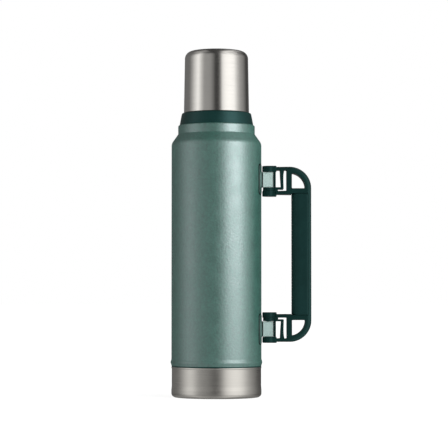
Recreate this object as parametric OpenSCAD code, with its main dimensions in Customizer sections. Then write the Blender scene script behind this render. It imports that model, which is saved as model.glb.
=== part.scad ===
// Steel vacuum flask with a screw-on drinking cup, a screw stopper and a folding carrying handle.
// Millimetres. +Z is up, the flask's axis is Z, the foot stands on z = 0, and the handle is on the +X side.

/* [Flask body] */
// Outer diameter of the painted shell
body_d = 94.2; // [92:0.2:100]
// Height from the foot to the start of the shoulder
body_h = 265.8; // [250:0.2:290]
// Wall of the outer shell and of the base cup
shell_t = 0.6; // [0.5:0.1:1]
// Height of the bare steel base cup
base_h = 31.8; // [25:0.1:33]
// How far the rolled bead above the base stands out
bead_out = 0.9; // [0.6:0.1:1.6]

/* [Shoulder and neck] */
// Height of the cone between body and neck ring
shoulder_h = 9.4; // [7:0.1:12]
// Outer diameter of the painted neck ring
ring_d = 80.4; // [78:0.2:83]
// Height of the painted neck ring
ring_h = 9.3; // [8:0.1:11]
// Inner diameter of the steel mouth
mouth_d = 49.2; // [49:0.1:49.5]
// Visible height of the plastic collar under the cup
collar_h = 12.8; // [12:0.1:16]

/* [Inner vessel] */
// Inner diameter of the vessel that holds the drink
vessel_d = 74; // [70:1:78]
// Wall of the inner vessel
vessel_t = 0.5; // [0.4:0.1:0.8]

/* [Cup] */
// Outer diameter of the cup at its rim
cup_d = 68.4; // [68:0.2:69.4]
// Height of the cup's steel shell, rim to top
cup_h = 65.7; // [60:0.1:70]
// Radius of the cup's top edge
cup_corner = 8.5; // [6:0.5:10]

/* [Screw threads] */
// Rise in one turn of the cup's and the stopper's threads
lead = 15; // [12:1:18]
// Number of thread starts
starts = 3; // [3:1:4]

/* [Handle] */
// Distance from the flask's axis to the handle's outer edge
handle_reach = 99.1; // [96:0.1:104]
// Height of the handle over its two arms
handle_h = 183; // [175:0.2:195]
// Height of the handle's middle above the foot
handle_mid = 149.3; // [140:0.1:155]
// Width of the grip across the handle
grip_w = 24; // [22:0.5:25]

/* [Hidden] */
$fn = 96;
eps = 0.01;

// Stack of heights along the flask's axis
bead_z = base_h + 4.8;
bead_half = 3.4;
cone_top = body_h + shoulder_h;
ring_top = cone_top + ring_h;
collar_top = ring_top + collar_h;
mouth_z = collar_top + 16;
cup_gap = 0.3;
cup_rim = collar_top + cup_gap;
cup_top = collar_top + cup_h;

// Radii of the body
body_r = body_d / 2;
base_r = body_r;
skirt_r = base_r - shell_t;
skirt_z = 5;
ring_r = ring_d / 2;
ring_edge = 1.5;
foot_out = base_r - 4.5;
foot_in = 35;
foot_recess = 3;
shoulder_fillet = 4;

// Steel neck: two tubes with the vacuum between them, closed by the rim at the mouth
mouth_r = mouth_d / 2;
neck_r = mouth_r + 3;
neck_t = 0.6;
rim_t = 0.6;
seat_r = mouth_r - 2.8;
seat_top = ring_top + 0.9;
seat_bottom = seat_top - 3.9;
throat_z = seat_bottom - 5.5;

// Inner vessel
vessel_r = vessel_d / 2;
vessel_weld_z = 24;
vessel_knuckle = 10;
flare_r = 6;
vessel_bend = 8;
flare_angle = 50;

// Plastic collar on the neck
collar_bottom_r = ring_r - 1.5;
collar_top_r = ring_r - 3.9;
sleeve_r = neck_r + 2;
sleeve_top = mouth_z - 1;
collar_seal_in = neck_r + 3;
collar_seal_w = 2;
collar_seal_h = 1.4;

// Thread ridge: width at the root and crest, height, and the free play between two threads
pitch = lead / starts;
ridge_root = 2.8;
ridge_crest = 1.6;
ridge_h = 1.4;
ridge_sink = 0.3;
thread_play = 0.3;
ridge_step = 12;
ridge_run_out = 2;
neck_thread_z = seat_top + 4.5;
neck_thread_h = lead;
cup_thread_z = collar_top + 3.6;
cup_thread_h = 0.6 * lead;

// Cup: steel shell, steel liner and a plastic ring that carries the thread
cup_r = cup_d / 2;
cup_taper = 1.1;
cup_t = 0.5;
cup_crown = 0.6;
ring_wall_in = sleeve_r + ridge_h + thread_play;
cup_ring_top = sleeve_top + 4;
cup_liner_t = 0.4;
cup_liner_gap = 1.6;
cup_gasket_z = sleeve_top + 0.3;
cup_gasket_h = 2;
cup_lip_r = sleeve_r + 0.3;

// Stopper: hollow threaded plug, foam core, knob and gasket
plug_r = mouth_r - ridge_h - thread_play;
plug_wall = 2;
plug_tip_r = seat_r - 1.2;
plug_z = throat_z - 1.5;
groove_r = seat_r - 2;
groove_z = seat_bottom + 0.3;
gasket_z = groove_z + 0.1;
gasket_h = 3.5;
gasket_r = plug_r + 0.1;
stopper_flange_r = mouth_r + 2.4;
stopper_flange_z = mouth_z + 0.4;
stopper_flange_h = 3;
knob_r = mouth_r + 0.4;
knob_z = stopper_flange_z + stopper_flange_h;
knob_h = 14.6;
knob_edge = 3;
knob_wall = 2.5;
knob_flutes = 16;
flute_r = 2;
channel_w = 9;
channel_deep = 1.1;

// Handle hinge
pin_x = body_r + 7.9;
pin_r = 2;
pin_head_r = 3;
pin_head_h = 1.2;
pin_play = 0.05;
bush_r = 3;
eye_r = 5.5;
eye_half = 4.4;
strap_t = 1.4;
eye_h = 16;
knuckle_r = 7;
hinge_v = handle_h / 2 - 13.4;
upper_z = handle_mid + hinge_v;
lower_z = handle_mid - hinge_v;
knuckle_gap = 0.2;
knuckle_outer_h = 6.3;
knuckle_inner_h = 9.3;
saddle_t = 0.9;
saddle_h = 30.6;
saddle_w = 32.2;
ear_w = 8.2;
leg_x = body_r + saddle_t + 0.5;

// Handle frame, in the plane of the handle: x from the flask's axis, v up and down from the handle's middle
corner_r = 22.5;
arm_h = 29;
grip_x = pin_x + 23.6;
arm_x = pin_x + knuckle_r + 0.1;
arm_top = handle_h / 2;
corner_x = handle_reach - corner_r;
corner_v = arm_top - corner_r;
arm_low = arm_top - arm_h;
bar_t = 3.5;
spring_x = pin_x + 12;
spring_w = 2.8;
slot_x = spring_x + spring_w;
slot_w = 3.6;
foot_v = hinge_v - eye_h / 2 - 2.1;
foot_t = 2.1;
slit_t = 1.7;
slit_x = spring_x - 2.4;
window_r = 16.1;
window_x = grip_x + 0.2;
window_v = arm_low + 6.3;
web_in = eye_r + 0.3;
neck_half = 6.5;
neck_end = pin_x + 10;
arm_half = 11;
back_round = 7;
rim_x = handle_reach - 3.5;
grip_v = arm_low + 1;
core_half = 4;
core_x = grip_x + 4;
grip_round = 8;

// Points of an arc about (x, z), from angle a to angle b
function arc(x, z, r, a, b, n = 8) = [for (i = [0:n]) let (t = a + (b - a) * i / n) [x + r * cos(t), z + r * sin(t)]];

function reversed(list) = [for (i = [len(list) - 1:-1:0]) list[i]];

// A thin wall turned about Z, between an outer and an inner outline that both run upwards
module turned_wall(outer, inner) {
    rotate_extrude() polygon(concat(outer, reversed(inner)));
}

module turned(points) {
    rotate_extrude() polygon(points);
}

// Upside down for side -1
module flipped(side) {
    if (side > 0) children();
    else mirror([0, 0, 1]) children();
}

// Helical ridges on a wall of radius r. They stand out of it, or into it when inward is true.
// The ridge's middle rises from z0 to z1, and phase shifts the ridges up by that share of the pitch.
module thread(r, z0, z1, inward = false, phase = 0) {
    side = inward ? -1 : 1;
    turn = 360 * (z1 - z0) / lead;
    n = ceil(turn / ridge_step);
    first = 360 * z0 / lead;
    root = r - side * ridge_sink;
    function full(i) = min(1, (i + 0.25) / ridge_run_out, (n - i + 0.25) / ridge_run_out);
    function crest(i) = r + side * ridge_h * full(i);
    function section(i) = [
        [root, -ridge_root / 2 * full(i)],
        [crest(i), -ridge_crest / 2 * full(i)],
        [crest(i), ridge_crest / 2 * full(i)],
        [root, ridge_root / 2 * full(i)]
    ];
    points = [for (i = [0:n]) let (a = first + turn * i / n, z = z0 + (z1 - z0) * i / n)
        for (p = section(i)) [p[0] * cos(a), p[0] * sin(a), z + p[1]]];
    sides = [for (i = [0:n - 1], j = [0:3]) let (k = (j + 1) % 4)
        for (t = [[4 * i + j, 4 * i + 4 + j, 4 * i + k], [4 * i + k, 4 * i + 4 + j, 4 * i + 4 + k]]) t];
    caps = [[0, 1, 2], [0, 2, 3], [4 * n + 2, 4 * n + 1, 4 * n], [4 * n + 3, 4 * n + 2, 4 * n]];
    inward_faces = concat(sides, caps);
    faces = inward ? inward_faces : [for (f = inward_faces) reversed(f)];
    for (s = [0:starts - 1])
        rotate(360 * (s - phase) / starts) polyhedron(points, faces);
}

// Outline of the outer shell, with every face set back by t
function shell_outline(t) = concat(
    [[skirt_r - t, skirt_z], [skirt_r - t, base_h + t], [base_r - t, base_h + t]],
    [for (i = [0:10]) let (s = i / 5 - 1)
        [base_r - t + (body_r - base_r) * (s + 1) / 2 + bead_out * pow(1 - s * s, 1.5), bead_z + bead_half * s]],
    [[body_r - t, body_h - shoulder_fillet], [body_r - t - 0.35, body_h - 1.2], [body_r - t - 1.1, body_h + 1]],
    [[ring_r - t + 0.3, cone_top - 0.6], [ring_r - t, cone_top + 0.3]],
    arc(ring_r - ring_edge - t, ring_top - ring_edge - t, ring_edge, 0, 90, 4),
    [[neck_r - (t > 0 ? neck_t : 0), ring_top - t], [neck_r - (t > 0 ? neck_t : 0), mouth_z - rim_t]]
);

module outer_shell() {
    color("#6f9488") turned_wall(shell_outline(0), shell_outline(shell_t));
}

// Bare steel cup pressed over the shell's skirt, with a foot ring round a recess
module base_cup() {
    t = shell_t;
    outer = concat(
        [[0, foot_recess], [foot_in - 3, foot_recess], [foot_in, 0], [foot_out, 0]],
        arc(foot_out, 4.5, base_r - foot_out, -90, 0, 6),
        [[base_r, base_h]]
    );
    inner = concat(
        [[0, foot_recess + t], [foot_in - 2.6, foot_recess + t], [foot_in + 0.4, t], [foot_out, t]],
        arc(foot_out, 4.5, base_r - foot_out - t, -90, 0, 6),
        [[base_r - t, base_h]]
    );
    color("#b9b6b0") turned_wall(outer, inner);
}

// Pan that closes the vacuum space, with a dimpled hole that the seal fills
module bottom_plate() {
    r = skirt_r - shell_t;
    hole = 1.5;
    t = 0.8;
    color("#a5a39f") turned([
        [hole, skirt_z + 2], [6, skirt_z + 3], [r - 8, skirt_z + 3], [r - 6, skirt_z], [r, skirt_z],
        [r, skirt_z + 7], [r - t, skirt_z + 7], [r - t, skirt_z + t], [r - 5.4, skirt_z + t],
        [r - 7.4, skirt_z + 3 + t], [6, skirt_z + 3 + t], [hole, skirt_z + 2 + t]
    ]);
}

// Bead of sealing glass that plugs the evacuation hole
module vacuum_seal() {
    color("#3f4a52") turned([
        [0, skirt_z + 0.9], [2.4, skirt_z + 1.2], [3.2, skirt_z + 2.2], [1.5, skirt_z + 1.9],
        [1.5, skirt_z + 3], [0, skirt_z + 3.2]
    ]);
}

// Gas-absorbing tablet in a small steel cup, welded on the bottom plate
module getter() {
    r = 9;
    color("#8b8d8f") translate([18, 0, skirt_z + 3.8]) union() {
        cylinder(h = 1, r = r);
        cylinder(h = 2.6, r = r - 1.5);
    }
}

// Vessel wall from the weld at its bottom up to the mouth, offset outwards by t
function vessel_outline(t) = let (
        bend_r = vessel_bend + t,
        throat_r = seat_r + t,
        cut = flare_r - t,
        flare_x = seat_r + flare_r,
        flare_end = [flare_x - cut * cos(flare_angle), throat_z - cut * sin(flare_angle)],
        bend_x = vessel_r - vessel_bend,
        bend_start_x = bend_x + bend_r * cos(flare_angle),
        bend_start_z = flare_end[1] - (bend_start_x - flare_end[0]) / tan(flare_angle),
        bend_z = bend_start_z - bend_r * sin(flare_angle)
    ) concat(
        [[vessel_r + t, vessel_weld_z]],
        arc(bend_x, bend_z, bend_r, 0, flare_angle, 6),
        reversed(arc(flare_x, throat_z, cut, 180, 180 + flare_angle, 6)),
        [[throat_r, seat_bottom], [mouth_r + t, seat_top]]
    );

module inner_vessel() {
    color("#c9c7c2") union() {
        turned(concat(
            vessel_outline(0),
            [[mouth_r, mouth_z - 0.3], [mouth_r + 0.3, mouth_z], [neck_r - 0.3, mouth_z], [neck_r, mouth_z - 0.3]],
            [[neck_r, mouth_z - rim_t], [mouth_r + vessel_t, mouth_z - rim_t]],
            reversed(vessel_outline(vessel_t))
        ));
        thread(mouth_r, neck_thread_z, neck_thread_z + neck_thread_h, inward = true);
    }
}

// Dished bottom welded into the vessel
module vessel_bottom() {
    r = vessel_r;
    k = vessel_knuckle;
    z = vessel_weld_z - k;
    color("#c9c7c2") turned(concat(
        [[0, z + 1.5]],
        [[r - k - 6, z + 0.6]],
        arc(r - k, z + k, k, -90, 0, 6),
        [[r + vessel_t, vessel_weld_z]],
        reversed(arc(r - k, z + k, k + vessel_t, -90, 0, 6)),
        [[r - k - 6, z + 0.6 - vessel_t], [0, z + 1.5 - vessel_t]]
    ));
}

// Copper foil wrapped round the vessel against radiant heat
module copper_foil() {
    foil_t = 0.1;
    z = vessel_weld_z + 4;
    color("#b87346") difference() {
        translate([0, 0, z]) cylinder(h = body_h - 44 - z, r = vessel_r + vessel_t + foil_t);
        translate([0, 0, z - 1]) cylinder(h = body_h, r = vessel_r + vessel_t);
    }
}

// Plastic collar: a flared flange under the cup and a sleeve with the cup's thread
module neck_collar() {
    flange_edge = 1.6;
    color("#1f4038") union() {
        turned(concat(
            [[neck_r, ring_top]],
            [[collar_seal_in, ring_top], [collar_seal_in, ring_top + collar_seal_h]],
            [[collar_seal_in + collar_seal_w, ring_top + collar_seal_h], [collar_seal_in + collar_seal_w, ring_top]],
            [[collar_bottom_r - 0.4, ring_top], [collar_bottom_r, ring_top + 0.4]],
            arc(collar_top_r - flange_edge, collar_top - flange_edge, flange_edge, 8, 90, 4),
            [[sleeve_r, collar_top], [sleeve_r, sleeve_top - 0.5], [sleeve_r - 0.5, sleeve_top], [neck_r, sleeve_top]]
        ));
        thread(sleeve_r, cup_thread_z, cup_thread_z + cup_thread_h);
    }
}

module collar_seal() {
    color("#30343a") difference() {
        translate([0, 0, ring_top]) cylinder(h = collar_seal_h, r = collar_seal_in + collar_seal_w);
        translate([0, 0, ring_top - 1]) cylinder(h = collar_seal_h + 2, r = collar_seal_in);
    }
}

// Inner radius of the cup's steel shell at height z
function cup_inside(z) = cup_r - cup_t - cup_taper * (z - cup_rim) / (cup_top - cup_rim - cup_corner - cup_crown);

// Thin pressed cup with a tapered side, a round corner and a slightly crowned top
function cup_outline(rim_r, rim_z, top_r, top_z, corner, t) = concat(
    [[rim_r - t, rim_z]],
    arc(top_r - corner, top_z - corner - cup_crown, corner - t, 0, 90, 10),
    [[0, top_z - t]]
);

module cup_shell() {
    top_r = cup_r - cup_taper;
    color("#bdbab4") turned_wall(
        cup_outline(cup_r, cup_rim, top_r, cup_top, cup_corner, 0),
        cup_outline(cup_r, cup_rim, top_r, cup_top, cup_corner, cup_t)
    );
}

module cup_liner() {
    gap = cup_t + cup_liner_gap;
    rim_r = cup_inside(cup_ring_top) - cup_liner_gap;
    top_r = cup_r - cup_taper - gap;
    top_z = cup_top - cup_t - 3.4;
    corner = cup_corner - 1;
    color("#cfccc6") turned_wall(
        cup_outline(rim_r, cup_ring_top, top_r, top_z, corner, 0),
        cup_outline(rim_r, cup_ring_top, top_r, top_z, corner, cup_liner_t)
    );
}

// Plastic ring pressed into the cup's rim, with the female thread and a lip over the gasket
module cup_thread_ring() {
    lip_z = cup_gasket_z + cup_gasket_h;
    color("#1f4038") union() {
        turned([
            [ring_wall_in, cup_rim], [cup_inside(cup_rim), cup_rim], [cup_inside(cup_ring_top), cup_ring_top],
            [cup_lip_r, cup_ring_top], [cup_lip_r, lip_z], [ring_wall_in, lip_z]
        ]);
        thread(ring_wall_in, cup_thread_z, cup_thread_z + cup_thread_h, inward = true, phase = 0.5);
    }
}

module cup_gasket() {
    color("#d9dcd8") difference() {
        translate([0, 0, cup_gasket_z]) cylinder(h = cup_gasket_h - 0.1, r = ring_wall_in - 0.1);
        translate([0, 0, cup_gasket_z - 1]) cylinder(h = cup_gasket_h + 2, r = sleeve_r - 1.2);
    }
}

// Hollow plug with a gasket groove, the stopper's thread, two pouring channels and a flange over the mouth
module stopper_body() {
    r_in = plug_r - plug_wall;
    color("#21453c") difference() {
        union() {
            turned([
                [0, plug_z], [plug_tip_r - 1, plug_z], [plug_tip_r, plug_z + 1], [plug_tip_r, groove_z],
                [groove_r, groove_z], [groove_r, groove_z + gasket_h + 0.2], [plug_r, groove_z + gasket_h + 0.2],
                [plug_r, stopper_flange_z], [stopper_flange_r - 0.5, stopper_flange_z],
                [stopper_flange_r, stopper_flange_z + 0.5], [stopper_flange_r, knob_z - 0.5],
                [stopper_flange_r - 0.5, knob_z], [r_in, knob_z], [r_in, groove_z + gasket_h + 2.2],
                [groove_r - plug_wall, groove_z + gasket_h + 0.4], [groove_r - plug_wall, plug_z + plug_wall],
                [0, plug_z + plug_wall]
            ]);
            thread(plug_r, neck_thread_z + 1.5, neck_thread_z + neck_thread_h - 1.5, phase = 0.5);
        }
        for (side = [-1, 1])
            translate([side * (plug_r - channel_deep + 5) - 5, -channel_w / 2, groove_z + gasket_h + 1.2])
                cube([10, channel_w, stopper_flange_z - groove_z - gasket_h - 1.2 + eps]);
    }
}

// Fluted knob, welded on the plug's flange
module stopper_knob() {
    top = knob_z + knob_h;
    r_in = knob_r - knob_wall;
    color("#21453c") difference() {
        turned(concat(
            [[r_in, knob_z], [knob_r, knob_z]],
            arc(knob_r - knob_edge, top - knob_edge, knob_edge, 0, 90, 6),
            [[knob_r - knob_edge - 3, top - 1], [0, top - 1]],
            [[0, top - 1 - knob_wall], [r_in, top - 1 - knob_wall]]
        ));
        for (i = [0:knob_flutes - 1])
            rotate(360 * i / knob_flutes)
                translate([knob_r + flute_r - 1.1, 0, knob_z + 1.5]) cylinder(h = knob_h, r = flute_r, $fn = 24);
    }
}

module stopper_foam() {
    r_low = groove_r - plug_wall;
    r_top = plug_r - plug_wall;
    step = groove_z + gasket_h;
    color("#e6dfc8") turned([
        [0, plug_z + plug_wall], [r_low, plug_z + plug_wall], [r_low, step + 0.4], [r_top, step + 2.2],
        [r_top, knob_z + knob_h - 1 - knob_wall], [0, knob_z + knob_h - 1 - knob_wall]
    ]);
}

// Silicone ring that closes on the neck's conical seat
module stopper_gasket() {
    top = gasket_z + gasket_h;
    color("#d9dcd8") turned([
        [groove_r + 0.1, gasket_z], [seat_r - 0.08, gasket_z], [gasket_r, gasket_z + 1.8],
        [gasket_r, top], [groove_r + 0.1, top]
    ]);
}

// Painted steel hinge bracket: a folded strap round the bush, on a plate with two ears welded to the shell
module hinge_bracket(z) {
    color("#8fb0a4") translate([0, 0, z]) difference() {
        union() {
            translate([0, 0, -eye_h / 2]) linear_extrude(eye_h) union() {
                intersection() {
                    translate([pin_x, 0]) circle(eye_r);
                    translate([pin_x - eye_r, -eye_half]) square([3 * eye_r, 2 * eye_half]);
                }
                translate([body_r - 2, -eye_half]) square([pin_x - body_r + 2, 2 * eye_half]);
            }
            saddle();
        }
        translate([0, 0, -saddle_h]) cylinder(h = 2 * saddle_h, r = body_r);
        translate([pin_x, 0, -eye_h]) cylinder(h = 2 * eye_h, r = bush_r);
        translate([leg_x, strap_t - eye_half, -eye_h])
            cube([pin_x - leg_x, 2 * (eye_half - strap_t), 2 * eye_h]);
    }
}

// Curved plate on the shell: an ear on each side of the strap, taller than the strap itself
module saddle() {
    intersection() {
        cylinder(h = 2 * saddle_h, r = body_r + saddle_t, center = true);
        union() {
            translate([body_r - 5, -saddle_w / 2, -eye_h / 2]) cube([10, saddle_w, eye_h]);
            for (side = [-1, 1])
                translate([body_r - 5, side * (saddle_w - ear_w) / 2 - ear_w / 2, -saddle_h / 2])
                    cube([10, ear_w, saddle_h]);
        }
    }
}

module hinge_bush(z) {
    color("#e8e6df") translate([pin_x, 0, z - eye_h / 2]) difference() {
        cylinder(h = eye_h, r = bush_r);
        translate([0, 0, -1]) cylinder(h = eye_h + 2, r = pin_r + pin_play);
    }
}

// Steel pin with a head in the knuckle nearer the handle's middle. side is 1 for the upper hinge, -1 for the lower.
module hinge_pin(z, side) {
    low = eye_h / 2 + knuckle_inner_h - 2;
    high = eye_h / 2 + knuckle_outer_h - 2;
    color("#b5b8ba") translate([pin_x, 0, z]) flipped(side) union() {
        translate([0, 0, -low]) cylinder(h = low + high, r = pin_r);
        translate([0, 0, -low]) cylinder(h = pin_head_h, r = pin_head_r);
    }
}

// Upper half of the handle's outline, in (x, v)
module handle_half_outline() {
    difference() {
        union() {
            translate([pin_x, arm_low]) square([corner_x - pin_x + eps, arm_h]);
            intersection() {
                translate([corner_x, corner_v]) circle(corner_r);
                translate([corner_x, corner_v]) square(corner_r);
            }
            translate([corner_x, arm_low]) square([corner_r, corner_v - arm_low + eps]);
            translate([grip_x, 0]) square([handle_reach - grip_x, arm_low + eps]);
        }
        translate([arm_x, foot_v + foot_t]) square([spring_x - arm_x, arm_top - bar_t - foot_v - foot_t]);
        translate([slot_x, foot_v - slit_t]) square([slot_w, arm_top - bar_t - foot_v + slit_t]);
        translate([slit_x, foot_v - slit_t]) square([slot_x - slit_x + eps, slit_t]);
        intersection() {
            translate([corner_x, corner_v]) circle(window_r);
            translate([window_x, window_v]) square(window_r + 1);
        }
    }
}

// Plan of the handle, in (x, y): narrow at the hinge, wide at the grip, rounded at the back
module handle_plan() {
    reach = handle_reach;
    half = [
        [pin_x, neck_half], [neck_end, neck_half], [grip_x, arm_half], [reach - back_round, arm_half]
    ];
    round_back = arc(reach - back_round, arm_half - back_round, back_round, 90, 0, 6);
    upper = concat(half, round_back);
    polygon(concat(upper, [for (p = reversed(upper)) [p[0], -p[1]]]));
    translate([pin_x, 0]) circle(knuckle_r);
}

// Knuckles of one hinge, on both sides of the bracket's eye. side is 1 for the upper hinge.
module knuckles(side) {
    for (inner = [0, 1]) {
        h = inner ? knuckle_inner_h : knuckle_outer_h;
        from = inner ? -eye_h / 2 - knuckle_gap - h : eye_h / 2 + knuckle_gap;
        z = handle_mid + side * (hinge_v + from + (side > 0 ? 0 : h));
        translate([0, 0, z]) linear_extrude(h) {
            translate([pin_x, 0]) circle(knuckle_r);
            translate([pin_x, -neck_half]) square([arm_x - pin_x + 0.5, 2 * neck_half]);
        }
    }
}

// Moulded frame: two arms with spring loops and windows, round corners, and a core under the grip
module handle_frame() {
    gap_h = eye_h + 2 * knuckle_gap;
    color("#1d3b34") difference() {
        union() {
            intersection() {
                translate([0, arm_half + 1, handle_mid]) rotate([90, 0, 0]) linear_extrude(2 * arm_half + 2) {
                    handle_half_outline();
                    mirror([0, 1]) handle_half_outline();
                }
                translate([0, 0, handle_mid - arm_top - 1]) linear_extrude(handle_h + 2) handle_plan();
            }
            for (side = [-1, 1]) knuckles(side);
        }
        for (side = [-1, 1]) {
            z = handle_mid + side * hinge_v;
            translate([pin_x, 0, z - gap_h / 2]) cylinder(h = gap_h, r = web_in);
            translate([pin_x - 2 * knuckle_r, -knuckle_r - 1, z - gap_h / 2])
                cube([2 * knuckle_r + web_in * cos(30), 2 * knuckle_r + 2, gap_h]);
            hinge_pin(z, side);
            translate([pin_x, 0, z - side * (eye_h / 2 + knuckle_inner_h + 1)])
                flipped(side) cylinder(h = 3.2, r = pin_head_r);
        }
        difference() {
            translate([grip_x, -arm_half - 1, handle_mid - grip_v])
                cube([rim_x - grip_x, 2 * arm_half + 2, 2 * grip_v]);
            translate([core_x, -core_half, handle_mid - grip_v - 1])
                cube([corner_r, 2 * core_half, 2 * grip_v + 2]);
        }
    }
}

// Soft grip moulded round the frame's core
module handle_grip() {
    half = grip_w / 2;
    color("#17302c") translate([0, 0, handle_mid - grip_v]) linear_extrude(2 * grip_v) difference() {
        polygon(concat(
            [[rim_x, half - 1], [rim_x - 1, half]],
            arc(grip_x + grip_round, half - grip_round, grip_round, 90, 180, 8),
            arc(grip_x + grip_round, grip_round - half, grip_round, 180, 270, 8),
            [[rim_x - 1, -half], [rim_x, 1 - half]]
        ));
        translate([core_x, -core_half]) square([corner_r, 2 * core_half]);
    }
}

outer_shell();
base_cup();
bottom_plate();
vacuum_seal();
getter();
inner_vessel();
vessel_bottom();
copper_foil();
neck_collar();
collar_seal();
hinge_bracket(upper_z);  // hinge_bracket_upper
hinge_bracket(lower_z);  // hinge_bracket_lower
hinge_bush(upper_z);  // hinge_bush_upper
hinge_bush(lower_z);  // hinge_bush_lower
handle_frame();
handle_grip();
hinge_pin(upper_z, 1);  // hinge_pin_upper
hinge_pin(lower_z, -1);  // hinge_pin_lower
stopper_body();
stopper_knob();
stopper_foam();
stopper_gasket();
cup_shell();
cup_liner();
cup_thread_ring();
cup_gasket();
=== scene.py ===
import math

import bmesh
import bpy
import numpy as np
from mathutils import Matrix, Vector, geometry


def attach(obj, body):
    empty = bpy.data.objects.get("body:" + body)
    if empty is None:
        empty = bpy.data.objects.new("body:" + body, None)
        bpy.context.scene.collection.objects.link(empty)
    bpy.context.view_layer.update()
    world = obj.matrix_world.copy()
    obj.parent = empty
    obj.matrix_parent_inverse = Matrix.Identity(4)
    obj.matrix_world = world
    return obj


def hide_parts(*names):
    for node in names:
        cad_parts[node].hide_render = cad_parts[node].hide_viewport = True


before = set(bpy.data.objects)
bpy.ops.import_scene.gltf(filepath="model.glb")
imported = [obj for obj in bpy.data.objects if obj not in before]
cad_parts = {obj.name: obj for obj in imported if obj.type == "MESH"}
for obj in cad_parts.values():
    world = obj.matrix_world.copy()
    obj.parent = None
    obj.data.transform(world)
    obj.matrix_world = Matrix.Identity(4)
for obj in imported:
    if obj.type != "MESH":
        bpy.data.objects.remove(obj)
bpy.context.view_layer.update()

# Sizes are in millimetres, in the part's own frame: +Z up the flask's axis, +X towards the handle.
# In their names R is a radius about the axis, T a wall's thickness, and Z, LOW and TOP are heights.
MM = 0.001

# Body of the shell, with the groove over the base and the rolled bead above it
BODY_R = 47.1
SHELL_T = 0.6
BASE_H = 31.8
GROOVE_TOP = 32.9
GROOVE_IN = 45.4
BEAD_Z = 36.6
BEAD_HALF = 3.4
BEAD_OUT = 0.85

# Shoulder, neck ring and neck
SHOULDER_Z = 265.3
CONE_TOP = 275.1
RING_R = 40.2
RING_TOP = 284.5
NECK_R = 27.6
NECK_T = 0.6

# Collar, with the sleeve that carries the cup's thread
COLLAR_R = 38.7
COLLAR_TOP = 297.3
COLLAR_TOP_R = 36.3
SLEEVE_R = 29.6
SLEEVE_TOP = 312.3

# Inner vessel, from its lower end to the throat, the seat of the stopper's gasket and the mouth
VESSEL_R = 37.0
VESSEL_T = 0.5
VESSEL_LOW = 24.0
VESSEL_BEND_Z = 260.3
THROAT_Z = 273.2
SEAT_R = 21.8
SEAT_LOW = 281.5
SEAT_TOP = 285.4
MOUTH_R = 24.6
MOUTH_Z = 313.3

# Cup, and the ring inside it
CUP_RIM = 297.6
CUP_R = 34.2
CUP_TOP = 363.0
CUP_TOP_R = 33.1
CUP_T = 0.5
RING_WALL_R = 31.3
CUP_RING_TOP = 316.3
LIP_R = 29.9
LIP_Z = 314.6

# Stopper: the plug with its gasket's groove, the flange and the knob
PLUG_R = 22.9
PLUG_LOW = 274.5
GROOVE_R = 19.8
GROOVE_Z = 281.8
GROOVE_H = 3.7
FLANGE_R = 27.0
FLANGE_Z = 313.7
KNOB_Z = 316.7
KNOB_R = 25.0
KNOB_TOP = 331.3
FLUTES = 16
FLUTE_DEPTH = 1.1

# Screw threads, and the heights between which the ridges of each pair run
LEAD = 15.0
STARTS = 3
RIDGE_H = 1.4
RIDGE_ROOT = 2.8
RIDGE_CREST = 1.6
NECK_THREAD = (289.9, 304.9)
CUP_THREAD = (300.9, 309.9)

# Handle, in x and v, where v is the height from the handle's middle
HANDLE_MID = 149.3
REACH = 99.1
ARM_TOP = 91.5
ARM_LOW = 62.5
ARM_HALF = 11.0
CORNER_R = 22.5
CORNER_X = 76.6
CORNER_V = 69.0
WINDOW_R = 16.1
GRIP_X = 78.6
GRIP_V = 63.5
GRIP_HALF = 12.0
RIM_X = 95.6

# Hinges: the pin's axis, half the height of a bracket's eye, and the handle's knuckles beyond and before it
HINGE_V = 78.1
PIN_X = 55.0
EYE_HALF_H = 8.0
KNUCKLE_R = 7.0
NECK_HALF = 6.5
OUTER_H = 6.3
INNER_H = 9.3


# ---------------------------------------------------------------- outlines and meshes

# How far a chord may stand inside its arc, and the widest angle it may span, in degrees
ARC_ERROR = 0.015
WIDEST_CHORD = 12
# An edge that turns by more than this, in degrees, is drawn sharp
SHARP_ANGLE = 40
# A ridge of a thread: degrees from one section to the next, and degrees over which its ends fade out
RIDGE_STEP = 4
RIDGE_FADE = 18
# A slab's flat faces begin this many bevels in from its edge
FLAT_START = 1.25
# Points on a flat face, in units of their spacing: from row to row, and from the face's edge
ROW_STEP = 0.87
EDGE_GAP = 0.6


def smooth(t):
    """0 below 0, 1 above 1, and an even curve between."""
    t = min(1.0, max(0.0, t))
    return t * t * (3 - 2 * t)


def arc(cx, cy, radius, start, stop, steps):
    """Points of an arc, angles in degrees."""
    turns = [math.radians(start + (stop - start) * i / steps) for i in range(steps + 1)]
    return [(cx + radius * math.cos(t), cy + radius * math.sin(t)) for t in turns]


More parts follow.
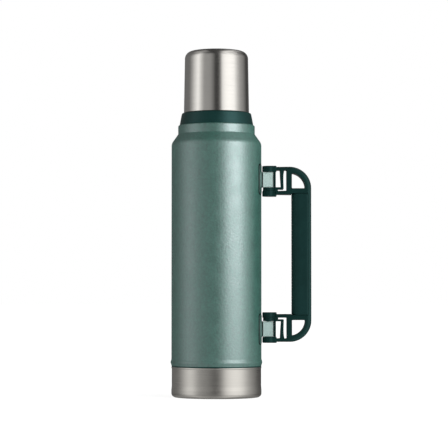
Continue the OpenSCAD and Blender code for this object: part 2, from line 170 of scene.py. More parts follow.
def rounded(corners, closed=True, support=0.15):
    """An outline through corners (x, y) or (x, y, fillet radius), with a point close to each fillet's end."""
    points = []
    for i, corner in enumerate(corners):
        here = Vector(corner[:2])
        radius = corner[2] if len(corner) > 2 else 0
        if not radius or (not closed and i in (0, len(corners) - 1)):
            points.append(here)
            continue
        back = (Vector(corners[i - 1][:2]) - here).normalized()
        ahead = (Vector(corners[(i + 1) % len(corners)][:2]) - here).normalized()
        half = back.angle(ahead) / 2
        reach = radius / math.tan(half)
        centre = here + (back + ahead).normalized() * radius / math.sin(half)
        first, last = here + back * reach - centre, here + ahead * reach - centre
        turn = first.angle_signed(last)
        widest = min(math.radians(WIDEST_CHORD), 2 * math.acos(1 - ARC_ERROR / max(radius, 0.1)))
        steps = max(2, math.ceil(abs(turn) / widest))
        points.append(centre + first + back * support)
        for k in range(steps + 1):
            t = -turn * k / steps
            points.append(centre + Vector((first.x * math.cos(t) - first.y * math.sin(t),
                                           first.x * math.sin(t) + first.y * math.cos(t))))
        points.append(centre + last + ahead * support)
    return [tuple(p) for p in points]


def lathe(outline, segments, shape=None):
    """A closed (r, z) outline turned about Z. shape(r, z, angle) may change a point's radius."""
    verts, rings = [], []
    for r, z in outline:
        if r < 1e-6:
            rings.append([len(verts)] * segments)
            verts.append((0.0, 0.0, z))
            continue
        rings.append(list(range(len(verts), len(verts) + segments)))
        for k in range(segments):
            a = 2 * math.pi * k / segments
            rr = shape(r, z, a) if shape else r
            verts.append((rr * math.cos(a), rr * math.sin(a), z))
    faces = []
    for i, ring in enumerate(rings):
        after = rings[(i + 1) % len(rings)]
        for k in range(segments):
            n = (k + 1) % segments
            face = list(dict.fromkeys((ring[k], ring[n], after[n], after[k])))
            if len(face) > 2:
                faces.append(face)
    return verts, faces


def ridges(radius, span, inward=False, phase=0.0):
    """The thread's helical ridges on a wall, with ends that fade into it."""
    side = -1 if inward else 1
    low, high = span
    root, crest = RIDGE_ROOT / 2, RIDGE_CREST / 2
    sunk, end_width = -0.35, 0.3
    flank = [(sunk, -root), (0.0, -root * 0.95), (RIDGE_H * 0.8, -crest * 1.15), (RIDGE_H, -crest * 0.7)]
    section = flank + [(height, -across) for height, across in flank[::-1]]
    count = math.ceil(360 * (high - low) / LEAD / RIDGE_STEP)
    fade = RIDGE_FADE / RIDGE_STEP
    verts, faces = [], []
    for start in range(STARTS):
        shift = 360 * (start - phase) / STARTS
        first = len(verts)
        for i in range(count + 1):
            z = low + (high - low) * i / count
            a = math.radians(360 * z / LEAD + shift)
            full = smooth((min(i, count - i) + 0.3) / fade)
            width = end_width + (1 - end_width) * full
            for height, across in section:
                up = height if height < 0 else height * full
                r = radius + side * up
                verts.append((r * math.cos(a), r * math.sin(a), z + across * width))
        n = len(section)
        for i in range(count):
            a, b = first + i * n, first + (i + 1) * n
            faces += [(a + j, b + j, b + (j + 1) % n, a + (j + 1) % n) for j in range(n)]
        last = first + count * n
        faces += [tuple(range(first, first + n)), tuple(range(last, last + n))]
    return verts, faces


def area(loop):
    """The area a loop encloses, above 0 where it runs anticlockwise."""
    return sum(a[0] * b[1] - b[0] * a[1] for a, b in zip(loop, loop[1:] + loop[:1])) / 2


def inset(loop, distance):
    """The loop moved to its left by a distance."""
    p = np.array(loop)
    along = np.roll(p, -1, 0) - p
    along /= np.linalg.norm(along, axis=1)[:, None]
    left = np.stack([-along[:, 1], along[:, 0]], 1)
    mean = left + np.roll(left, 1, 0)
    length = np.linalg.norm(mean, axis=1)[:, None] / 2
    return p + mean / 2 / np.maximum(length, 0.35) ** 2 * distance


def inside(points, loops):
    """Which points an odd number of the loops goes round."""
    result = np.zeros(len(points), bool)
    for loop in loops:
        a, b = np.array(loop), np.roll(np.array(loop), -1, 0)
        for (ax, ay), (bx, by) in zip(a, b):
            if ay == by:
                continue
            crosses = (ay > points[:, 1]) != (by > points[:, 1])
            at = (bx - ax) * (points[:, 1] - ay) / (by - ay) + ax
            result ^= crosses & (points[:, 0] < at)
    return result


def slab(outer, holes, depth, bevel, place, spacing=2.0, steps=4):
    """A plate with holes. depth(u, v) is half its thickness, and place(u, v, w) puts a point in the frame."""
    loops = []
    for i, loop in enumerate([outer] + holes):
        anticlockwise = area(loop) > 0
        loops.append(loop if anticlockwise == (i == 0) else loop[::-1])
    verts, faces = [], []

    def ring(points, lift, side):
        start = len(verts)
        for u, v in points:
            verts.append(place(u, v, side * (depth(u, v) - bevel + lift)))
        return list(range(start, len(verts)))

    def band(a, b):
        n = len(a)
        faces.extend((a[k], a[(k + 1) % n], b[(k + 1) % n], b[k]) for k in range(n))

    caps = {}
    for side in (-1, 1):
        caps[side] = []
        for loop in loops:
            rings = []
            for k in range(steps + 1):
                t = math.pi / 2 * k / steps
                rings.append(ring(inset(loop, bevel * (1 - math.cos(t))), bevel * math.sin(t), side))
            flat = inset(loop, bevel * FLAT_START)
            rings.append(ring(flat, bevel, side))
            for a, b in zip(rings, rings[1:]):
                band(a, b)
            caps[side].append((rings[0], rings[-1], flat))
    for (low, _, _), (high, _, _) in zip(caps[-1], caps[1]):
        band(low, high)

    flats = [flat for _, _, flat in caps[1]]
    edge = np.concatenate(flats)
    low, high = edge.min(0), edge.max(0)
    rows = np.arange(low[1], high[1], spacing * ROW_STEP)
    grid = np.array([(x + (spacing / 2 if i % 2 else 0), y) for i, y in enumerate(rows)
                     for x in np.arange(low[0], high[0], spacing)]).reshape(-1, 2)
    grid = grid[inside(grid, flats)]
    if len(grid):
        near = np.array([np.min(np.sum((edge - g) ** 2, 1)) for g in grid])
        grid = grid[near > (EDGE_GAP * spacing) ** 2]
    points = [Vector(p) for p in edge] + [Vector(p) for p in grid]
    edges, at = [], 0
    for flat in flats:
        edges += [(at + k, at + (k + 1) % len(flat)) for k in range(len(flat))]
        at += len(flat)
    made, _, triangles, origin, _, _ = geometry.delaunay_2d_cdt(points, edges, [], 0, 1e-5)
    middles = np.array([sum((made[i] for i in t), Vector((0, 0))) / 3 for t in triangles])
    keep = inside(middles, flats)
    for side in (-1, 1):
        index = [i for _, top, _ in caps[side] for i in top]
        start = len(verts)
        for u, v in grid:
            verts.append(place(u, v, side * depth(u, v)))
        index += list(range(start, len(verts)))
        for t, kept in zip(triangles, keep):
            if kept:
                faces.append(tuple(index[origin[i][0]] for i in t))
    return verts, faces


def finish_object(name, parts, material, body, replaces=()):
    """One object on its CAD body, from parts of (vertices in mm, faces)."""
    verts, faces = [], []
    for part_verts, part_faces in parts:
        start = len(verts)
        verts += [(x * MM, y * MM, z * MM) for x, y, z in part_verts]
        faces += [tuple(start + i for i in face) for face in part_faces]
    mesh = bpy.data.meshes.new(name)
    mesh.from_pydata(verts, [], faces)
    tidy = bmesh.new()
    tidy.from_mesh(mesh)
    bmesh.ops.remove_doubles(tidy, verts=tidy.verts, dist=1e-7)
    bmesh.ops.recalc_face_normals(tidy, faces=tidy.faces)
    tidy.to_mesh(mesh)
    tidy.free()
    mesh.polygons.foreach_set("use_smooth", [True] * len(mesh.polygons))
    mesh.set_sharp_from_angle(angle=math.radians(SHARP_ANGLE))
    mesh.materials.append(material)
    obj = bpy.data.objects.new(name, mesh)
    bpy.context.scene.collection.objects.link(obj)
    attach(obj, body)
    if replaces:
        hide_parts(*replaces)
    return obj


# ---------------------------------------------------------------- materials

# Noise and cell scales are per metre, and bump heights are in metres


class Shader:
    """A new material's node tree, with short ways to add and link nodes."""

    def __init__(self, name, color, roughness, metallic=0.0, **sockets):
        self.material = bpy.data.materials.new(name)
        self.material.use_nodes = True
        self.tree = self.material.node_tree
        self.surface = self.tree.nodes["Principled BSDF"]
        looks = {"Base Color": (*color, 1), "Roughness": roughness, "Metallic": metallic}
        self.set(self.surface, {**looks, **sockets})

    def set(self, node, values):
        """Values or links for a node's inputs."""
        for key, value in values.items():
            if isinstance(value, bpy.types.NodeSocket):
                self.tree.links.new(value, node.inputs[key])
            else:
                node.inputs[key].default_value = value

    def add(self, kind, inputs=None, **settings):
        """A new node of a kind, with its inputs and its settings."""
        node = self.tree.nodes.new("ShaderNode" + kind)
        for key, value in settings.items():
            setattr(node, key, value)
        self.set(node, inputs or {})
        return node

    def place(self):
        """The object's own coordinates, in metres."""
        return self.add("TexCoord").outputs["Object"]

    def around(self, across, along):
        """Coordinates round the flask's axis: fast across the lines of a spun finish, slow along them."""
        x, y, z = self.add("SeparateXYZ", {"Vector": self.place()}).outputs
        angle = self.math("ARCTAN2", y, x)
        radius = self.math("SQRT", self.math("ADD", self.math("MULTIPLY", x, x), self.math("MULTIPLY", y, y)))
        return self.add("CombineXYZ", {
            "X": self.math("MULTIPLY", radius, across),
            "Y": self.math("MULTIPLY", z, across),
            "Z": self.math("MULTIPLY", angle, along)}).outputs["Vector"]

    def math(self, operation, a, b=0.0):
        """The result of a math node."""
        node = self.add("Math", operation=operation)
        self.set(node, {0: a, 1: b})
        return node.outputs[0]

    def noise(self, at, scale, detail, rough=0.5):
        inputs = {"Vector": at, "Scale": scale, "Detail": detail, "Roughness": rough}
        return self.add("TexNoise", inputs).outputs["Fac"]

    def ramp(self, fac, *stops):
        """A colour or a grey by position, from stops (position, colour or value)."""
        node = self.add("ValToRGB", {"Fac": fac})
        while len(node.color_ramp.elements) < len(stops):
            node.color_ramp.elements.new(0.5)
        for element, (position, color) in zip(node.color_ramp.elements, stops):
            element.position = position
            element.color = (*color, 1) if isinstance(color, tuple) else (color, color, color, 1)
        return node.outputs["Color"]

    def bump(self, height, distance, strength, under=None):
        """A bump of the given height in metres, over the normal of another bump or over the plain surface."""
        inputs = {"Height": height, "Distance": distance, "Strength": strength}
        if under is not None:
            inputs["Normal"] = under
        return self.add("Bump", inputs).outputs["Normal"]

    def use(self, **links):
        """Link sockets to the surface, and give the finished material."""
        names = {"color": "Base Color", "roughness": "Roughness", "normal": "Normal", "tangent": "Tangent"}
        for key, socket in links.items():
            self.tree.links.new(socket, self.surface.inputs[names[key]])
        return self.material


def scaled(color, k):
    """A colour made k times as bright, up to full white."""
    return tuple(min(1.0, c * k) for c in color)


def hammered_paint(name, color, roughness, ior, tint=(1, 1, 1), contrast=1.0):
    """Paint full of metal flakes: a body colour with a fine grain under a strong, nearly neutral sheen."""
    s = Shader(name, color, roughness, IOR=ior, **{"Specular Tint": (*tint, 1)})
    at = s.place()
    blotch = s.noise(at, 90.0, 3.0)
    flake = s.noise(at, 2600.0, 1.0)
    speck = s.noise(at, 450.0, 1.0)
    grain = s.math("MULTIPLY", s.math("ADD", flake, speck), 0.43)
    mixed = s.math("ADD", s.math("MULTIPLY", blotch, 0.14), grain)
    dark, light = scaled(color, 1 - 0.38 * contrast), scaled(color, 1 + 0.4 * contrast)
    hammer = s.add("TexVoronoi", {"Vector": at, "Scale": 520.0, "Smoothness": 0.6}, feature="SMOOTH_F1")
    peel = s.noise(at, 620.0, 2.0)
    relief = s.math("ADD", hammer.outputs["Distance"], s.math("MULTIPLY", peel, 0.25))
    dimple = s.bump(relief, 0.00024, 0.36)
    return s.use(
        color=s.ramp(mixed, (0.35, dark), (0.65, light)),
        roughness=s.ramp(blotch, (0.3, roughness - 0.03), (0.7, roughness + 0.04)),
        normal=s.bump(flake, 0.00004, 0.28, dimple))


def spun_steel(name, color, roughness, anisotropy, grain):
    """Metal with fine lines round the flask's axis and a faint haze. grain is how deep the lines are."""
    s = Shader(name, color, roughness, 1.0, Anisotropic=anisotropy)
    lines = s.noise(s.around(2600.0, 1.4), 1.0, 3.0, 0.6)
    haze = s.noise(s.place(), 30.0, 2.0)
    mixed = s.math("ADD", s.math("MULTIPLY", lines, 0.7), s.math("MULTIPLY", haze, 0.3))
    return s.use(
        color=s.ramp(mixed, (0.3, scaled(color, 0.9)), (0.7, scaled(color, 1.07))),
        roughness=s.ramp(mixed, (0.3, roughness * 0.8), (0.7, roughness * 1.25)),
        tangent=s.add("Tangent", direction_type="RADIAL", axis="Z").outputs["Tangent"],
        normal=s.bump(lines, 0.00002, grain))


def moulded(name, color, roughness, grain=0.25, scale=2200.0, **sockets):
    """Plastic, rubber, foam or glass with a fine grain and uneven wear."""
    s = Shader(name, color, roughness, **sockets)
    at = s.place()
    fine = s.noise(at, scale, 2.0)
    wear = s.noise(at, 55.0, 4.0, 0.6)
    return s.use(
        color=s.ramp(wear, (0.3, scaled(color, 0.88)), (0.7, scaled(color, 1.12))),
        roughness=s.ramp(wear, (0.35, roughness - 0.04), (0.75, roughness + 0.07)),
        normal=s.bump(fine, 0.00003, grain))


# Colours, in linear light
GREEN = (0.03, 0.145, 0.109)
# The brackets' pale green is a painted highlight: they wear the body's green paint, painted as if lit
LIT_BRACKET_GREEN = (0.6, 0.785, 0.75)
DARK_GREEN = (0.0065, 0.036, 0.032)
HANDLE_GREEN = (0.011, 0.049, 0.044)
GRIP_GREEN = (0.011, 0.049, 0.045)
STOPPER_GREEN = (0.012, 0.045, 0.04)
CUP_STEEL = (0.645, 0.625, 0.59)
# The base's steel colour is the cup's made darker: painted shade of the weaker light low on the flask
SHADED_BASE_STEEL = (0.585, 0.565, 0.525)
VESSEL_STEEL = (0.62, 0.61, 0.59)
PLAIN_STEEL = (0.5, 0.5, 0.49)
COPPER = (0.85, 0.45, 0.28)
WHITE = (0.75, 0.74, 0.70)
SILICONE = (0.62, 0.66, 0.62)
BLACK = (0.008, 0.01, 0.011)
FOAM = (0.78, 0.72, 0.58)
GLASS = (0.03, 0.045, 0.06)


def sheen(level):
    """The weak, greenish sheen of the dark green plastics."""
    return {"Specular IOR Level": level, "Specular Tint": (0.5, 1, 1, 1)}


paint = hammered_paint("hammered_paint", GREEN, 0.42, 2.75, (0.88, 0.98, 1.0))
# A pale copy of the body's hammered green: a painted highlight on the brackets' flat faces
lit_bracket_paint = hammered_paint("lit_bracket_paint", LIT_BRACKET_GREEN, 0.4, 1.6, contrast=0.2)
cup_steel = spun_steel("cup_steel", CUP_STEEL, 0.15, 0.4, 0.3)
# The base's steel is rougher than the cup's, and its colour darker as painted shade of the weaker light low
# on the flask
shaded_base_steel = spun_steel("shaded_base_steel", SHADED_BASE_STEEL, 0.31, 0.3, 0.1)
vessel_steel = spun_steel("vessel_steel", VESSEL_STEEL, 0.3, 0.3, 0.3)
plain_steel = spun_steel("plain_steel", PLAIN_STEEL, 0.35, 0.2, 0.3)
copper = spun_steel("copper", COPPER, 0.25, 0.1, 0.5)
# The collar's dark green plastic, also used for the painted shade in the groove over the base
collar_plastic_and_shade = moulded("collar_plastic_and_shade", DARK_GREEN, 0.4, 0.15, **sheen(0.42))
handle_plastic = moulded("handle_plastic", HANDLE_GREEN, 0.36, 0.25, **sheen(0.33))
grip_rubber = moulded("grip_rubber", GRIP_GREEN, 0.5, 0.45, 1400.0, **sheen(0.33))
stopper_plastic = moulded("stopper_plastic", STOPPER_GREEN, 0.38, 0.2)
white_plastic = moulded("white_plastic", WHITE, 0.4)
silicone = moulded("silicone", SILICONE, 0.5, 0.15, **{"Subsurface Weight": 0.15, "Subsurface Scale": 0.002})
# Black rubber for the collar's seal, also used for the painted shade round the brackets' saddles and straps
black_rubber = moulded("black_rubber", BLACK, 0.6, **{"Specular IOR Level": 0.2})
foam = moulded("foam", FOAM, 0.9, 0.8, 900.0)
sealing_glass = moulded("sealing_glass", GLASS, 0.15, 0.05)


# ---------------------------------------------------------------- flask

def bead(t):
    """Outline of the rolled bead, set back by the wall's thickness."""
    points = []
    for i in range(17):
        s = i / 8 - 1
        points.append((BODY_R - t + BEAD_OUT * math.cos(math.pi * s / 2) ** 1.6, BEAD_Z + BEAD_HALF * s))
    return points


def shell_wall():
    """The painted shell with its neck: up the outside, and down again inside."""
    t = SHELL_T
    skirt_r, skirt_low = BODY_R - t, 5
    bead_top = BEAD_Z + BEAD_HALF + 0.5
    neck_in, neck_top = NECK_R - NECK_T, MOUTH_Z - 0.6
    outside = [(skirt_r, skirt_low), (skirt_r, BASE_H - 1.4), (GROOVE_IN, BASE_H - 0.6),
               (GROOVE_IN, GROOVE_TOP), (BODY_R, GROOVE_TOP, 0.3)]
    outside += bead(0)[1:]
    outside += [(BODY_R, bead_top), (BODY_R, SHOULDER_Z, 8), (RING_R, CONE_TOP, 1.6), (RING_R, RING_TOP, 1.5),
                (NECK_R, RING_TOP, 0.3), (NECK_R, neck_top)]
    inside_wall = [(neck_in, neck_top), (neck_in, RING_TOP - t), (RING_R - t, RING_TOP - t, 1),
                   (RING_R - t, CONE_TOP, 1.6), (BODY_R - t, SHOULDER_Z - 0.3, 8), (BODY_R - t, bead_top)]
    inside_wall += bead(t)[::-1]
    inside_wall += [(GROOVE_IN - t, GROOVE_TOP + 0.4), (GROOVE_IN - t, BASE_H - 0.8),
                    (skirt_r - t, BASE_H - 1.6), (skirt_r - t, skirt_low)]
    return lathe(rounded(outside + inside_wall), 256)


def base_wall():
    """The steel base: a raised middle, a foot ring, and a wall with a slight waist."""
    t = SHELL_T
    middle_r, recess_z, foot_in = 14, 2.6, 34.4
    waist_r = BODY_R - 0.35
    outline = [(0, 3.6), (middle_r, 3.2), (15, recess_z, 0.5), (30, recess_z, 1.5), (foot_in, 0, 1.6),
               (BODY_R, 0, 4.5), (BODY_R, 8, 2), (waist_r, 12, 3), (waist_r, BASE_H - 1.8, 0.5),
               (BODY_R, BASE_H - 1.1, 0.3), (BODY_R, BASE_H, 0.28), (BODY_R - t, BASE_H, 0.28),
               (BODY_R - t, t, 3.9), (34.7, t, 1), (30.4, 3.2, 1), (15, 3.2), (middle_r, 3.8), (0, 4.2)]
    return lathe(rounded(outline), 256)


def base_groove_shade():
    """A dark green ring in the groove between the painted shell and the steel base: painted shade where the
    groove lies in shadow.
    """
    groove_in, low, face = GROOVE_IN - 0.1, BASE_H - 0.5, BODY_R - 0.15
    high = GROOVE_TOP + 0.05
    outline = [(groove_in, low), (BODY_R - SHELL_T - 0.1, low), (face, BASE_H, 0.1), (face, high, 0.1),
               (groove_in, high)]
    return lathe(rounded(outline, support=0.05), 192)


def collar_wall():
    """The collar under the cup, and the sleeve inside the cup."""
    outline = [(NECK_R, RING_TOP), (COLLAR_R, RING_TOP, 0.35), (COLLAR_TOP_R, COLLAR_TOP, 1.7),
               (SLEEVE_R, COLLAR_TOP, 0.5), (SLEEVE_R, SLEEVE_TOP, 0.6), (NECK_R, SLEEVE_TOP)]
    return lathe(rounded(outline), 256)


def vessel_wall():
    """The inner vessel, its throat and its mouth, where it turns over to the shell's neck."""
    t = VESSEL_T
    rim_low = MOUTH_Z - 0.6
    inner = [(VESSEL_R, VESSEL_LOW), (VESSEL_R, VESSEL_BEND_Z, 8), (SEAT_R, THROAT_Z, 5),
             (SEAT_R, SEAT_LOW, 0.6), (MOUTH_R, SEAT_TOP, 0.8), (MOUTH_R, MOUTH_Z, 0.45)]
    outer = [(NECK_R, MOUTH_Z, 0.25), (NECK_R, rim_low), (MOUTH_R + t, rim_low), (MOUTH_R + t, SEAT_TOP),
             (SEAT_R + t, SEAT_LOW), (SEAT_R + t, THROAT_Z + 0.3, 5),
             (VESSEL_R + t, VESSEL_BEND_Z + 0.4, 8), (VESSEL_R + t, VESSEL_LOW)]
    return lathe(rounded(inner + outer), 160)


collar_parts = [collar_wall(), ridges(SLEEVE_R, CUP_THREAD)]
vessel_parts = [vessel_wall(), ridges(MOUTH_R, NECK_THREAD, inward=True)]
finish_object("shell", [shell_wall()], paint, "flask", ["outer_shell"])
finish_object("base", [base_wall()], shaded_base_steel, "flask", ["base_cup"])
# Painted shade in the groove over the base, in the collar's dark plastic
finish_object("base_groove_shade", [base_groove_shade()], collar_plastic_and_shade, "flask")
finish_object("collar", collar_parts, collar_plastic_and_shade, "flask", ["neck_collar"])
finish_object("vessel", vessel_parts, vessel_steel, "flask", ["inner_vessel"])


# ---------------------------------------------------------------- hinge brackets

# The two hinges, and the side of the handle's middle on which each lies
SIDES = (("upper", 1), ("lower", -1))

# Strap: half its width, its thickness, and how far from the flask's axis its eye reaches
STRAP_HALF = 4.4
STRAP_T = 1.4
EYE_X = 59.7
# Heights over the shell of the outer faces of the saddle, of the black sheet under it and of the black foot
# under the strap. Sheet and foot are painted shade: dark lines where plate and strap meet the shell
SADDLE_T = 0.9
SHADE_T = 0.55
STRAP_SHADE_T = 1.9
# How far the black sheet shows round the saddle, as a painted shadow line
SHADE_MARGIN = 0.9


def strap(z):
    """The folded strap round the hinge's bush, with a hem above and below."""
    back, face, slot_in = 46.8, 47.95, 49.2
    plan = rounded([(back, -STRAP_HALF), (EYE_X, -STRAP_HALF, 1.8), (EYE_X, STRAP_HALF, 1.8),
                    (back, STRAP_HALF)])
    hollow, slot_out = STRAP_HALF - STRAP_T, EYE_X - STRAP_T
    slot = rounded([(slot_in, -hollow, 0.8), (slot_out, -hollow, 0.9), (slot_out, hollow, 0.9),
                    (slot_in, hollow, 0.8)])
    wide = STRAP_HALF + 0.3
    hem = rounded([(face, -wide, 0.6), (EYE_X, -wide, 2.3), (EYE_X, wide, 2.3), (face, wide, 0.6)])
    hem_half_h, hem_z = 0.55, 7.0
    parts = [slab(plan, [slot], lambda u, v: EYE_HALF_H, 0.3, lambda u, v, w: (u, v, z + w))]
    for end in (-1, 1):
        parts.append(slab(hem, [slot], lambda u, v: hem_half_h, 0.3,
                          lambda u, v, w: (u, v, z + end * hem_z + w)))
    return parts


def ears():
    """Outline of the plate under a strap: an ear on each side, taller than the strap."""
    ear_in, ear_out, tall, low = 7.9, 16.1, 15.3, EYE_HALF_H
    return rounded([(ear_out, -tall, 2.5), (ear_out, tall, 2.5), (ear_in, tall, 2.5), (ear_in, low, 1.5),
                    (-ear_in, low, 1.5), (-ear_in, tall, 2.5), (-ear_out, tall, 2.5), (-ear_out, -tall, 2.5),
                    (-ear_in, -tall, 2.5), (-ear_in, -low, 1.5), (ear_in, -low, 1.5), (ear_in, -tall, 2.5)])


def on_shell(outline, z, low, high, bevel):
    """A thin plate curved round the shell, between two heights above it."""
    middle_r, half = BODY_R + (low + high) / 2, (high - low) / 2
    return slab(outline, [], lambda u, v: half, bevel,
                lambda u, v, w: (math.sqrt((middle_r + w) ** 2 - u * u), u, z + v), spacing=1.5, steps=3)


for end, side in SIDES:
    middle = HANDLE_MID + side * HINGE_V
    saddle = on_shell(ears(), middle, SHADE_T - 0.05, SADDLE_T, 0.15)
    # Painted shade: a black sheet that shows round the saddle's edge, and a black foot that shows beside the
    # strap's root
    sheet_shade = on_shell(inset(ears(), -SHADE_MARGIN).tolist(), middle, -0.2, SHADE_T, 0.1)
    wide, tall = 5.2, 7.9
    strap_shade_plan = rounded([(wide, -tall, 1), (wide, tall, 1), (-wide, tall, 1), (-wide, -tall, 1)])
    foot = on_shell(strap_shade_plan, middle, SADDLE_T - 0.4, STRAP_SHADE_T, 0.2)
    finish_object(f"bracket_{end}", strap(middle), lit_bracket_paint, "flask",
                  [f"hinge_bracket_{end}"])
    finish_object(f"saddle_{end}", [saddle], paint, "flask")
    # The black sheet and foot are painted shade round the saddle and the strap's root
    finish_object(f"saddle_pad_{end}", [sheet_shade, foot], black_rubber, "flask")


# ---------------------------------------------------------------- handle

def handle_depth(x, v):
    """Half the frame's thickness: wider towards the grip, and rounded over at its outer edge."""
    neck, widening = 9, 15
    half = NECK_HALF + (ARM_HALF - NECK_HALF) * smooth((x - PIN_X - neck) / widening)
    if abs(v) > CORNER_V and x > CORNER_X:
        edge = CORNER_R - math.hypot(x - CORNER_X, abs(v) - CORNER_V)
    elif abs(v) > CORNER_V:
        edge = ARM_TOP - abs(v)
    else:
        edge = REACH - x
    # The radius of that rounding grows from the hinge to the grip
    round_over = 2.0 + 2.0 * smooth((x - 66) / 16)
    if edge < round_over:
        gone = round_over - max(edge, 0.0)
        half -= round_over - math.sqrt(max(round_over ** 2 - gone ** 2, 0.0))
    return half


def in_handle(x, v, w):
    """A point of the handle's frame, w to the side of its middle plane."""
    return (x, w, HANDLE_MID + v)


def handle_outline():
    """Outline of the frame, which leaves room for the grip on its inner side."""
    left = PIN_X + 5.8
    upper = [(RIM_X, GRIP_V, 0.5), (GRIP_X, GRIP_V), (GRIP_X, ARM_LOW, 0.6), (left, ARM_LOW, 0.8),
             (left, ARM_TOP, 0.8), (REACH, ARM_TOP, CORNER_R)]
    lower = [(x, -v, *radius) for x, v, *radius in upper[::-1]]
    return rounded(upper + lower)


def handle_holes(side):
    """The hole, the slot round the spring loop and the corner window of one arm."""
    hole = [(62.1, 70.1, 0.5), (67.5, 70.1, 0.5), (66.8, 80), (66.4, 87.9, 0.6), (62.1, 87.9, 0.5)]
    slot = [(73.4, 88.1, 0.5), (70.9, 88.1, 0.6), (70.1, 83), (70.0, 78), (70.3, 68.0, 0.7),
            (64.4, 68.0, 0.4), (64.4, 66.3, 0.4), (73.4, 66.3, 0.5)]
    left, low = 78.8, 68.8
    window = [(left, low, 0.7), (CORNER_X + WINDOW_R - 0.05, low, 1.1)]
    window += arc(CORNER_X, CORNER_V, WINDOW_R, 6, 77, 16)
    window.append((left, CORNER_V + WINDOW_R - 0.2, 0.9))
    return [[(x, side * v) for x, v in rounded(loop)] for loop in (hole, slot, window)]


def knuckle(low, high, bored, radius=KNUCKLE_R):
    """A round knuckle about the pin, between two heights, with the web that joins it to the frame."""
    start, web, bore_r = 60, 62.9, 3.1
    half_w = min(NECK_HALF, radius - 0.5)
    corner = math.degrees(math.asin(half_w / radius))
    plan = arc(PIN_X, 0, radius, corner, 360 - corner, 40)
    plan += rounded([(start, -half_w), (web, -half_w, 1.0), (web, half_w, 1.0), (start, half_w)],
                    closed=False)
    bore = [arc(PIN_X, 0, bore_r, 0, 352.5, 47)] if bored else []
    middle, half = (low + high) / 2, (high - low) / 2
    return slab(plan, bore, lambda u, v: half, 0.75, lambda u, v, w: (u, v, middle + w), spacing=1.6)


def cheeks(z):
    """The two edges of the web behind a bracket's eye, which reach round it on both sides."""
    start, end, near, far = 59.9, 61.2, 3.3, 4.9
    parts = []
    for y in (-1, 1):
        plan = rounded([(start, y * near, 0.4), (end, y * near), (end, y * far), (start, y * far, 0.4)])
        parts.append(slab(plan, [], lambda u, v: EYE_HALF_H + 0.3, 0.2, lambda u, v, w: (u, v, z + w)))
    return parts


def knuckles(side):
    """The knuckles of one hinge: one beyond the bracket's eye, and one with a slimmer neck before it."""
    centre = HANDLE_MID + side * HINGE_V
    gap, waist, waist_r, overlap = EYE_HALF_H + 0.2, 3.4, 6.3, 1.5
    outer = sorted((centre + side * gap, centre + side * (gap + OUTER_H)))
    neck = sorted((centre - side * gap, centre - side * (gap + waist + overlap)))
    inner = sorted((centre - side * (gap + waist), centre - side * (gap + INNER_H)))
    return [knuckle(*outer, False), knuckle(*neck, True, waist_r), knuckle(*inner, True)] + cheeks(centre)


def grip():
    """The soft grip: rounded towards the flask, with fine ribs where the fingers close round it."""
    plan = rounded([(GRIP_X, -GRIP_HALF, 8), (RIM_X, -GRIP_HALF, 1.2), (RIM_X, GRIP_HALF, 1.2),
                    (GRIP_X, GRIP_HALF, 8)], support=1.0)
    end, pitch, deep, plain = 1.3, 3.0, 0.16, 7.0
    rib_end, rib_fade = 86.0, 5
    rounding = [math.radians(18 * k) for k in range(5)]
    stations = [(-GRIP_V + end * (1 - math.cos(t)), end * (1 - math.sin(t))) for t in rounding]
    rows = int(2 * (GRIP_V - end) / 0.5)
    stations += [(-GRIP_V + end + 2 * (GRIP_V - end) * k / rows, 0.0) for k in range(rows + 1)]
    stations += [(-v, back) for v, back in stations[4::-1]]
    verts, faces = [], []
    for v, back in stations:
        fade = smooth((GRIP_V - plain - abs(v)) / 4)
        rib = deep * fade * (0.5 - 0.5 * math.cos(2 * math.pi * v / pitch)) ** 3
        for (x, y), (ix, iy) in zip(plan, inset(plan, 1.0)):
            reach = back + rib * smooth((rib_end - x) / rib_fade)
            verts.append((x + (ix - x) * reach, y + (iy - y) * reach, HANDLE_MID + v))
    n = len(plan)
    for i in range(len(stations) - 1):
        a, b = i * n, (i + 1) * n
        faces += [(a + k, a + (k + 1) % n, b + (k + 1) % n, b + k) for k in range(n)]
    faces += [tuple(range(n)), tuple(range(len(verts) - n, len(verts)))]
    return verts, faces


def hinge_pin(side):
    """A pin on its own axis, with a flat head at its inner end."""
    centre = HANDLE_MID + side * HINGE_V
    shank_r, head_r, tip, under_head = 2, 3, 12.3, -14.1
    outline = rounded([(0, -15.3), (2.6, -15.15, 0.4), (head_r, -14.6, 0.2), (head_r, under_head, 0.1),
                       (shank_r, under_head), (shank_r, tip, 0.3), (0, tip)], support=0.05)
    return lathe([(r, centre + side * z) for r, z in outline], 48)


def moved(part, dx):
    """A part shifted along x."""
    verts, faces = part
    return [(x + dx, y, z) for x, y, z in verts], faces


frame_parts = [slab(handle_outline(), handle_holes(1) + handle_holes(-1), handle_depth, 0.4, in_handle,
                    spacing=1.3)]
frame_parts += knuckles(1) + knuckles(-1)
finish_object("handle", frame_parts, handle_plastic, "handle", ["handle_frame"])
finish_object("grip", [grip()], grip_rubber, "handle", ["handle_grip"])
for end, side in SIDES:
    pin = moved(hinge_pin(side), PIN_X)
    finish_object(f"pin_{end}", [pin], plain_steel, "handle", [f"hinge_pin_{end}"])


# ---------------------------------------------------------------- stopper

def knob_shape(r, z, angle):
    """Flutes round the knob's side, fading out towards its foot and its top."""
    plain_r = KNOB_R - 2.2
    if r < plain_r:
        return r
    flute = max(0.0, math.cos(FLUTES * angle)) ** 1.5
    return r - FLUTE_DEPTH * flute * smooth((z - KNOB_Z - 0.8) / 1.2) * smooth((r - plain_r) / 1.4)


